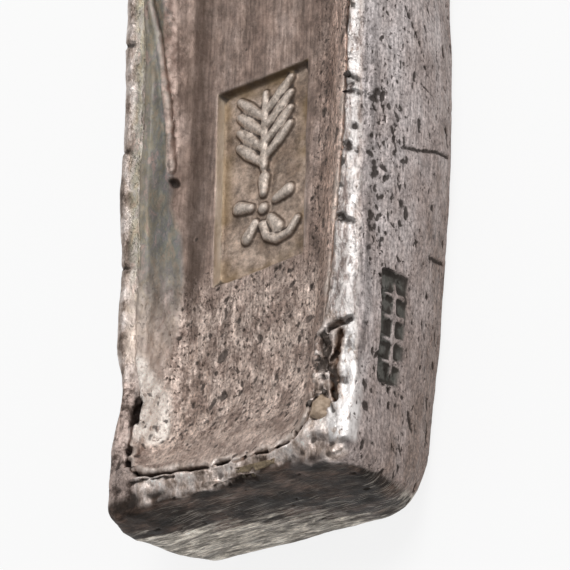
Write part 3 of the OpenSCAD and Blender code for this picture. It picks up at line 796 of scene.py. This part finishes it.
class Nodes:
    """Short forms for building one material or world."""

    def __init__(self, owner, space="Object"):
        owner.use_nodes = True
        self.owner, self.tree = owner, owner.node_tree
        self.place = self.add("TexCoord").outputs[space]
        self.seed = 0

    def add(self, kind, inputs=(), **settings):
        node = self.tree.nodes.new("ShaderNode" + kind)
        for key, value in settings.items():
            setattr(node, key, value)
        for key, value in dict(inputs).items():
            self.put(node.inputs[key], value)
        return node

    def put(self, socket, value):
        """Links or sets an input; a colour is given without its alpha."""
        if isinstance(value, bpy.types.NodeSocket):
            self.tree.links.new(value, socket)
        elif socket.type == "RGBA":
            socket.default_value = (*value, 1)
        else:
            socket.default_value = value

    def axis(self, k, unit=1):
        """The place along one axis, in a unit."""
        return self.math("DIVIDE", self.add("SeparateXYZ", {0: self.place}).outputs[k], unit)

    def mask(self, name):
        return self.add("Attribute", attribute_name=name).outputs["Fac"]

    def math(self, kind, a, b=0, clamp=False):
        return self.add("Math", {0: a, 1: b}, operation=kind, use_clamp=clamp).outputs[0]

    def vector(self, kind, inputs):
        return self.add("VectorMath", inputs, operation=kind).outputs

    def times(self, a, b):
        """Product, held between 0 and 1."""
        return self.math("MULTIPLY", a, b, True)

    def mix(self, share, a, b):
        node = self.add("Mix", data_type="RGBA")
        for key, value in (("Factor", share), ("A", a), ("B", b)):
            sockets = [s for s in node.inputs if s.name == key and s.enabled]
            self.put(sockets[0], value)
        return [s for s in node.outputs if s.enabled][0]

    def tint(self, colour, *layers):
        """Colour that turns to others in turn, each by a share of a mask."""
        for mask, share, to in layers:
            colour = self.mix(self.times(self.mask(mask), share), colour, to)
        return colour

    def scale(self, colour, factor):
        """Colour made lighter or darker by a factor."""
        return self.vector("SCALE", {0: colour, "Scale": factor})[0]

    def ramp(self, value, low, high, to_low=0, to_high=1):
        node = self.add("MapRange", {"Value": value, "From Min": low, "From Max": high,
                                     "To Min": to_low, "To Max": to_high})
        node.interpolation_type = "SMOOTHSTEP"
        return node.outputs[0]

    def spread(self, noise, low, high):
        """Value that follows a noise from low to high."""
        return self.ramp(noise, 0.3, 0.7, low, high)

    def vary(self, colour, noise, low, high):
        """Colour scaled by a factor that follows a noise from low to high."""
        return self.scale(colour, self.spread(noise, low, high))

    def clouds(self, size_mm, detail=3, rough=0.55, distort=0, turn=0):
        """Noise with features of a size in mm, one or one per axis, turned about Y; each call differs."""
        self.seed += 1
        turned = self.add("Mapping", {"Vector": self.place, "Rotation": (0, turn, 0)}).outputs[0]
        sizes = (size_mm,) * 3 if isinstance(size_mm, (int, float)) else size_mm
        shift = (7.3 * self.seed, 3.1 * self.seed, 5.7 * self.seed)
        where = self.add("Mapping", {"Vector": turned, "Location": shift,
                                     "Scale": [1 / (s * MM) for s in sizes]})
        return self.add("TexNoise", {"Vector": where.outputs[0], "Scale": 1, "Detail": detail,
                                     "Roughness": rough, "Distortion": distort}).outputs["Fac"]

    def flecks(self, size_mm, level, soft=0.04, turn=0):
        """Irregular spots of the given size; the higher the level, the more of them."""
        return self.ramp(self.clouds(size_mm, 2.5, 0.6, 0.5, turn), level + soft, level - soft)

    def scratch(self, a, b, width):
        """Closeness to the line from a to b, in millimetres: 1 on it, 0 from width away."""
        start, way = Vector(a) * MM, (Vector(b) - Vector(a)) * MM
        off = self.vector("SUBTRACT", {0: self.place, 1: start})[0]
        reach = self.vector("DOT_PRODUCT", {0: off, 1: way})["Value"]
        share = self.math("DIVIDE", reach, way.length_squared, True)
        foot = self.vector("SCALE", {0: way, "Scale": share})[0]
        gap = self.vector("DISTANCE", {0: off, 1: foot})["Value"]
        return self.ramp(gap, width * MM, 0)

    def bumps(self, *layers):
        """Normal bent by layers of relief, each with its depth in millimetres."""
        normal = None
        for height, depth_mm in layers:
            inputs = {"Height": height, "Distance": depth_mm * MM, "Strength": 1}
            if normal:
                inputs["Normal"] = normal
            normal = self.add("Bump", inputs).outputs[0]
        return normal

    def colours(self, value, *stops):
        """Colour that runs through the stops as a value rises."""
        node = self.add("ValToRGB", {"Fac": value})
        band = node.color_ramp
        while len(band.elements) < len(stops):
            band.elements.new(0.5)
        for element, (at, colour) in zip(band.elements, stops):
            element.position = at
            element.color = (*colour, 1)
        return node.outputs["Color"]

    def finish(self, inputs):
        """The material, with the inputs of its shader."""
        shader = self.tree.nodes["Principled BSDF"]
        for key, value in inputs.items():
            self.put(shader.inputs[key], value)
        return self.owner


def patina_film(n):
    """Thin-film colours on the left wall, drawn out along the length, paler towards the near end."""
    film = n.colours(
        n.clouds((1.2, 3, 1.2), 8, 0.75, 0.3),
        (0.3, (0.3, 0.2, 0.175)), (0.4, (0.38, 0.305, 0.215)), (0.47, (0.265, 0.265, 0.2)),
        (0.54, (0.2, 0.215, 0.215)), (0.62, (0.46, 0.34, 0.31)), (0.74, (0.27, 0.17, 0.165)))
    up_wall = n.ramp(n.axis(0, MM), -12.4, -14.6)
    film = n.mix(0.38, film, n.mix(up_wall, (0.2, 0.215, 0.22), (0.4, 0.34, 0.26)))
    length = n.axis(1, HALF_L * MM)
    film = n.mix(n.ramp(length, -0.15, -0.5, 0, 0.7), film, (0.78, 0.64, 0.56))
    return n.vary(film, n.clouds((1.4, 4, 1.4), 3, 0.5), 0.76, 1.2)


def end_tarnish_and_shade(n, height, across):
    """Dark brown end face, partly tarnish and partly painted shade, lighter and scratched towards the base,
    most so on the left; the lighter part is partly tarnish and partly a painted reflection of the floor.
    """
    dark = n.colours(
        n.clouds((5, 2, 2.5), 4, 0.6),
        (0.36, (0.01, 0.007, 0.005)), (0.5, (0.036, 0.024, 0.018)), (0.64, (0.125, 0.084, 0.066)))
    pale = n.colours(
        n.clouds((3, 2, 0.7), 5, 0.7),
        (0.36, (0.15, 0.135, 0.11)), (0.48, (0.47, 0.42, 0.36)), (0.6, (0.88, 0.8, 0.7)))
    edge = n.math("ADD", height, n.spread(n.clouds((7, 2, 1.2), 5, 0.7), -0.14, 0.14))
    edge = n.math("ADD", edge, n.math("MULTIPLY", across, 0.31))
    edge = n.math("ADD", edge, n.ramp(across, 0.7, 1, 0, -0.28))
    tone = n.mix(n.ramp(edge, 0.42, 0.26), dark, pale)
    tone = n.scale(tone, n.ramp(n.clouds((3, 3, 0.9), 7, 0.78, 0.6), 0.36, 0.64, 0.35, 1.5))
    for turn, share in ((0.1, 0.6), (-0.22, 0.5)):
        lines = n.flecks((4.5, 3, 0.15), 0.41, 0.02, turn)
        lines = n.times(lines, n.ramp(n.clouds((3, 2, 1.5)), 0.42, 0.58))
        lines = n.times(n.times(lines, share), n.ramp(across, -0.75, -0.55))
        tone = n.mix(n.times(lines, n.ramp(edge, 0.85, 0.45, 0.2, 1)), tone, (0.56, 0.5, 0.43))
        dashes = n.flecks((3.5, 3, 0.17), 0.4, 0.02, turn)
        tone = n.mix(n.times(dashes, share), tone, (0.018, 0.014, 0.011))
    for a, b, width in (
        ((7.57, -38.8, 14.4), (7.73, -39.1, 11.7), 0.16),
        ((4.15, -38.8, 14.3), (3.3, -39.2, 11.4), 0.14),
        ((-3, -38.8, 14.7), (0.2, -38.8, 14.6), 0.12),
        ((-8.3, -39.2, 14.2), (-4.1, -39, 13.4), 0.12),
    ):
        tone = n.mix(n.times(n.scratch(a, b, width), 0.7), tone, (0.36, 0.31, 0.28))
    groove = n.scratch((3.8, -39.5, 5.1), (8.5, -39.5, 6.2), 0.25)
    return n.mix(n.times(groove, 0.8), tone, (0.02, 0.017, 0.015))


def cast_sides(n, height, length):
    """Pinkish grey of the sides, and the noises and spots that its relief shares."""
    # The sides are lighter towards the top, partly as tarnish and partly as painted light from above, and
    # browner towards the near end.
    tilt = n.math("ADD", n.times(height, 0.45), n.math("MULTIPLY", length, 0.16))
    cloudy = n.math("ADD", tilt, n.times(n.clouds((3, 7, 3), 5, 0.6), 0.75))
    body = n.colours(
        cloudy, (0.3, (0.22, 0.165, 0.14)), (0.56, (0.36, 0.3, 0.28)), (0.86, (0.58, 0.525, 0.515)))
    body = n.vary(body, n.clouds((0.3, 3, 0.3), 3, 0.6), 0.75, 1.3)
    grain = n.clouds((0.3, 0.45, 0.3), 3, 0.65)
    body = n.vary(body, grain, 0.66, 1.36)
    mottle = n.clouds(0.9, 5, 0.7)
    body = n.mix(n.ramp(mottle, 0.52, 0.72, 0, 0.45), body, (0.13, 0.1, 0.09))
    spots = n.math("MAXIMUM", n.flecks((0.32, 0.8, 0.32), 0.35, 0.03), n.flecks((0.6, 1.1, 0.6), 0.31, 0.03))
    body = n.mix(n.times(spots, 0.8), body, (0.065, 0.05, 0.045))
    body = n.scale(body, n.ramp(n.mask("shoulder"), 0, 1, 1, 0.62))
    return body, grain, mottle, spots


def worn_rim(n, grain, endward):
    """Bright metal of the rim, duller at mid length and browned at the near left corner."""
    lip = n.colours(
        n.clouds((1.6, 3.2, 1.6), 5, 0.62),
        (0.36, (0.15, 0.11, 0.088)), (0.45, (0.46, 0.365, 0.31)),
        (0.54, (0.78, 0.67, 0.61)), (0.66, (0.97, 0.88, 0.83)))
    lip = n.scale(n.vary(lip, grain, 0.75, 1.25), n.ramp(endward, 0.6, 0.93, 0.72, 1.05))
    tan = n.mix(n.ramp(n.clouds(1.1, 5, 0.7), 0.35, 0.6), (0.12, 0.088, 0.074), (0.52, 0.415, 0.37))
    return n.mix(n.mask("tan"), lip, n.vary(tan, grain, 0.7, 1.25))


def rubbed_silver(n):
    """Streaky silver of the rubbed band, white where it is rubbed most, and where it shows."""
    streaks = n.ramp(n.clouds((0.5, 2.2, 0.5), 5, 0.7), 0.4, 0.6)
    rubbed = n.mix(streaks, (0.2, 0.16, 0.145), (0.5, 0.46, 0.44))
    white = n.times(n.mask("white"), n.ramp(n.clouds((0.8, 2, 0.8), 4, 0.6), 0.3, 0.45))
    rubbed = n.mix(white, rubbed, (0.88, 0.84, 0.82))
    return rubbed, n.times(n.mask("clean"), n.ramp(n.clouds((0.5, 0.9, 0.5), 4, 0.65), 0.33, 0.44))


def shell_silver():
    """Cast silver: pinkish grey sides, bright worn rim, black pits, dark brown ends."""
    n = Nodes(bpy.data.materials.new("shell_silver"))
    height = n.axis(2, END_H * MM)
    length = n.axis(1, HALF_L * MM)
    width = n.axis(0, HALF_W * MM)
    across = n.math("MULTIPLY", width, n.math("MULTIPLY", n.math("SIGN", length), -1))
    endward = n.math("ABSOLUTE", length)
    body, grain, mottle, spots = cast_sides(n, height, length)
    colour = n.mix(n.mask("lip"), body, worn_rim(n, grain, endward))
    colour = n.tint(colour, ("film", 0.85, patina_film(n)))
    worn = n.times(n.mask("wear"), n.ramp(n.mask("shoulder"), 0, 1, 0.6, 0.2))
    colour = n.mix(worn, colour, (0.6, 0.53, 0.49))
    # The ends are painted dark brown, partly as tarnish and partly as painted shade, with a painted
    # reflection of the floor towards the base.
    colour = n.tint(colour, ("end", 0.97, end_tarnish_and_shade(n, height, across)))
    rubbed, clean = rubbed_silver(n)
    colour = n.mix(clean, colour, rubbed)
    colour = n.tint(
        colour,
        ("gloom", 0.85, (0.085, 0.073, 0.073)), ("rust", 0.9, (0.24, 0.135, 0.075)),
        ("seam", 0.85, SEAM_DARK), ("stamp", 0.85, (0.075, 0.078, 0.068)))
    hollow = n.ramp(n.math("MAXIMUM", n.mask("pit"), n.times(n.mask("cavity"), 0.7)), 0.25, 0.8)
    colour = n.mix(n.times(hollow, 0.85), colour, (0.045, 0.036, 0.031))
    rough = n.spread(n.clouds(2, 5), 0.4, 0.58)
    rough = n.math("SUBTRACT", rough, n.times(clean, 0.08))
    rough = n.math("ADD", rough, n.times(hollow, 0.25))
    bare = n.ramp(hollow, 0, 1, 0.95, 0.5)
    calm = n.times(n.mask("lip"), n.ramp(endward, 0.9, 0.94))
    level = n.ramp(n.math("MAXIMUM", n.mask("end"), calm), 0, 1, 1, 0.6)
    return n.finish({
        "Base Color": colour,
        "Roughness": rough,
        "Metallic": n.math("SUBTRACT", bare, n.times(n.mask("end"), 0.5), True),
        "Specular IOR Level": 0.12,
        "Normal": n.bumps(
            (n.times(mottle, level), 0.14),
            (n.times(grain, level), 0.07),
            (n.times(spots, level), -0.06)),
    })


def trough_floor(n):
    """Warm brown of the trough, and the noises, grit and spots that its relief shares."""
    body = n.colours(
        n.clouds((3, 7, 3), 5, 0.6),
        (0.3, (0.25, 0.18, 0.15)), (0.5, (0.38, 0.285, 0.24)), (0.72, (0.52, 0.41, 0.36)))
    body = n.vary(body, n.clouds((1.2, 1.8, 1.2), 4, 0.65), 0.65, 1.35)
    mottle = n.clouds(0.9, 6, 0.72)
    patches = n.ramp(n.clouds((2.2, 3, 2.2), 6, 0.7), 0.38, 0.6)
    body = n.tint(body, ("pale", 0.85, n.mix(patches, (0.31, 0.235, 0.2), (0.7, 0.575, 0.505))))
    body = n.mix(n.ramp(mottle, 0.5, 0.75, 0, 0.5), body, (0.15, 0.11, 0.09))
    body = n.vary(body, n.clouds((0.35, 6, 0.35), 3), 1.25, 0.75)
    grit = n.mask("grit")
    grain = n.clouds((0.28, 0.4, 0.28), 3, 0.65)
    body = n.mix(grit, body, n.vary(body, grain, 0.65, 1.4))
    spots = n.math("MAXIMUM", n.flecks((0.32, 0.55, 0.32), 0.375), n.flecks((0.62, 0.85, 0.62), 0.33))
    spots = n.times(spots, n.ramp(grit, 0, 1, 0.2, 0.85))
    body = n.mix(spots, body, (0.06, 0.045, 0.038))
    streaks = n.ramp(n.clouds((0.8, 4, 0.8), 6, 0.75), 0.34, 0.62, 0.75, 1.75)
    body = n.mix(n.mask("wall"), body, n.scale(body, streaks))
    # Painted shade: the dim strip of floor between the left wall and the seal.
    return n.tint(body, ("dim", 0.72, (0.12, 0.085, 0.068))), mottle, grain, grit, spots


def seal_patina(n, mottle, grain):
    """Tan seal with ochre edges, painted shade at the feet of its ornament and along its top edge, painted
    light along its left edge, and worn tops of its ornament that are partly painted lighter as light from
    above.
    """
    seal = n.colours(n.clouds((4, 6, 4), 5), (0.36, (0.29, 0.215, 0.165)), (0.62, (0.62, 0.495, 0.41)))
    seal = n.vary(seal, n.clouds(1.2, 6, 0.75), 0.5, 1.5)
    # Ochre along the edges, and painted shade at the feet of the ornament.
    seal = n.tint(seal, ("ochre", 0.5, (0.32, 0.22, 0.115)), ("foot", 0.75, (0.08, 0.058, 0.045)))
    # The tops of the ornament are worn and partly painted lighter, as light falling from above.
    worn = n.mix(n.ramp(mottle, 0.48, 0.68, 0, 0.75), (0.68, 0.585, 0.51), (0.24, 0.19, 0.155))
    seal = n.mix(n.mask("stroke"), seal, n.vary(worn, grain, 0.72, 1.25))
    return n.tint(seal, ("lit", 0.85, (0.66, 0.56, 0.46)), ("shade", 0.8, (0.08, 0.058, 0.042)))


def trough_silver():
    """Warm brown tarnish with thin-film colours on the left wall and ochre in the seal."""
    n = Nodes(bpy.data.materials.new("trough_silver"))
    body, mottle, grain, grit, spots = trough_floor(n)
    colour = n.tint(body, ("film", 0.85, patina_film(n)))
    ridge = n.times(n.ramp(n.mask("lap"), 0.55, 0.85, 0, 0.85), n.ramp(mottle, 0.62, 0.44, 0.25, 1))
    colour = n.mix(ridge, colour, (0.6, 0.46, 0.4))
    colour = n.mix(n.mask("seal"), colour, seal_patina(n, mottle, grain))
    colour = n.tint(
        colour,
        ("ochre", 0.3, (0.33, 0.23, 0.12)), ("wear", 0.55, (0.62, 0.54, 0.48)),
        ("bead", n.ramp(mottle, 0.7, 0.45), (0.8, 0.7, 0.64)))
    # Painted highlight: the rubbed patch on the left slope is painted near-white and made less metallic, so
    # that it shows bright.
    clean = n.times(n.mask("clean"), n.ramp(mottle, 0.72, 0.55))
    patches = n.ramp(n.clouds((0.7, 1, 0.7), 6, 0.75), 0.34, 0.46)
    bright = n.mix(patches, (0.4, 0.3, 0.25), (1, 0.9, 0.82))
    colour = n.mix(clean, colour, n.vary(bright, grain, 0.78, 1.15))
    colour = n.tint(colour, ("seam", 0.85, SEAM_DARK))
    crease = n.times(n.mask("cavity"), n.ramp(n.mask("lap"), 0, 0.4, 0.9, 0.2))
    hollow = n.ramp(n.math("MAXIMUM", n.mask("pit"), crease), 0.25, 0.8)
    colour = n.mix(n.times(hollow, 0.8), colour, (0.06, 0.046, 0.039))
    rough = n.spread(n.clouds(2, 5), 0.44, 0.6)
    rough = n.math("ADD", rough, n.times(n.mask("film"), 0.12))
    rough = n.math("ADD", rough, n.times(hollow, 0.25))
    bare = n.ramp(hollow, 0, 1, 0.92, 0.5)
    return n.finish({
        "Base Color": colour,
        "Roughness": rough,
        "Metallic": n.math("SUBTRACT", bare, n.times(clean, 0.62), True),
        "Normal": n.bumps((mottle, 0.12), (n.times(grain, grit), 0.07), (spots, -0.06)),
    })


def earthy_crust(name, dark, pale):
    """Dull earthy residue between two colours."""
    n = Nodes(bpy.data.materials.new(name))
    colour = n.colours(n.clouds(0.8, 5, 0.7), (0.3, dark), (0.7, pale))
    colour = n.mix(n.mask("cavity"), colour, (0.08, 0.06, 0.04))
    rough = n.spread(n.clouds(0.5), 0.6, 0.85)
    relief = n.bumps((n.clouds(0.3, 4), 0.06))
    return n.finish({"Base Color": colour, "Roughness": rough, "Metallic": 0, "Normal": relief})


# Stage

def pale_floor():
    """White floor that keeps a faint shadow and shows white to the camera and in the metal."""
    mesh = bpy.data.meshes.new("floor")
    size, glow_share = 1.5, 0.85
    corners = [(-size, -size, 0), (size, -size, 0), (size, size, 0), (-size, size, 0)]
    mesh.from_pydata(corners, [], [(0, 1, 2, 3)])
    floor = add_object("floor", mesh)
    n = Nodes(bpy.data.materials.new("floor_white"))
    mesh.materials.append(n.finish({"Base Color": (0.9, 0.9, 0.9), "Roughness": 0.9}))
    cloth = n.tree.nodes["Principled BSDF"].outputs[0]
    glow = n.add("Emission").outputs[0]
    rays = n.add("LightPath").outputs
    seen = n.math("MAXIMUM", rays["Is Camera Ray"], rays["Is Glossy Ray"])
    share = n.times(seen, glow_share)
    blend = n.add("MixShader", {0: share, 1: cloth, 2: glow}).outputs[0]
    n.put(n.tree.nodes["Material Output"].inputs["Surface"], blend)


def soft_light(name, direction, distance, size, watts):
    """Square soft box that faces the ingot."""
    lamp = bpy.data.lights.new(name, "AREA")
    lamp.shape = "SQUARE"
    lamp.size = size
    lamp.energy = watts
    obj = add_object(name, lamp)
    way = Vector(direction).normalized()
    obj.location = way * distance
    obj.rotation_euler = way.to_track_quat("Z", "Y").to_euler()


def studio_world():
    """Bright walls, a dim ceiling and a dark side behind the camera's end of the ingot."""
    world = bpy.data.worlds.new("studio")
    bpy.context.scene.world = world
    n = Nodes(world, "Generated")
    level = n.add("MapRange", {"Value": n.axis(2), "To Min": 0.95, "To Max": 0.36})
    front = n.add("MapRange", {"Value": n.axis(1), "From Min": -0.8, "From Max": 0.1, "To Min": 0.3})
    background = n.tree.nodes["Background"]
    n.put(background.inputs["Strength"], n.math("MULTIPLY", level.outputs[0], front.outputs[0]))
    n.put(background.inputs["Color"], (1, 1, 1))


def photo_camera():
    """Long lens at the photograph's viewing angle, rolled to set the ingot upright in the frame."""
    aim, distance, lens = Vector((2.88, -14.22, 11.66)) * MM, 0.9754, 566.8
    right, up, back = (0.7989, 0.0361, -0.6005), (0.2177, 0.9133, 0.3444), (0.5612, -0.4058, 0.7219)
    camera = bpy.data.cameras.new("camera")
    camera.lens = lens
    camera.clip_end = 10
    obj = add_object("camera", camera)
    turn = Matrix((right, up, back)).transposed().to_4x4()
    obj.matrix_world = Matrix.Translation(aim + Vector(back) * distance) @ turn
    bpy.context.scene.camera = obj


bpy.context.scene.view_settings.view_transform = "Standard"
photo_camera()
studio_world()
pale_floor()
soft_light("key", direction=(0.3, 0.39, 0.87), distance=0.6, size=0.22, watts=1.6)
shell = sculpt_shell()
for piece, material in (
    (shell, shell_silver()),
    (sculpt_fill(), trough_silver()),
    (sculpt_lump(), earthy_crust("beige_lump", (0.28, 0.195, 0.13), (0.62, 0.48, 0.36))),
    (sculpt_crust(shell), earthy_crust("olive_crust", (0.1, 0.072, 0.042), (0.34, 0.26, 0.165))),
):
    piece.data.materials.append(material)
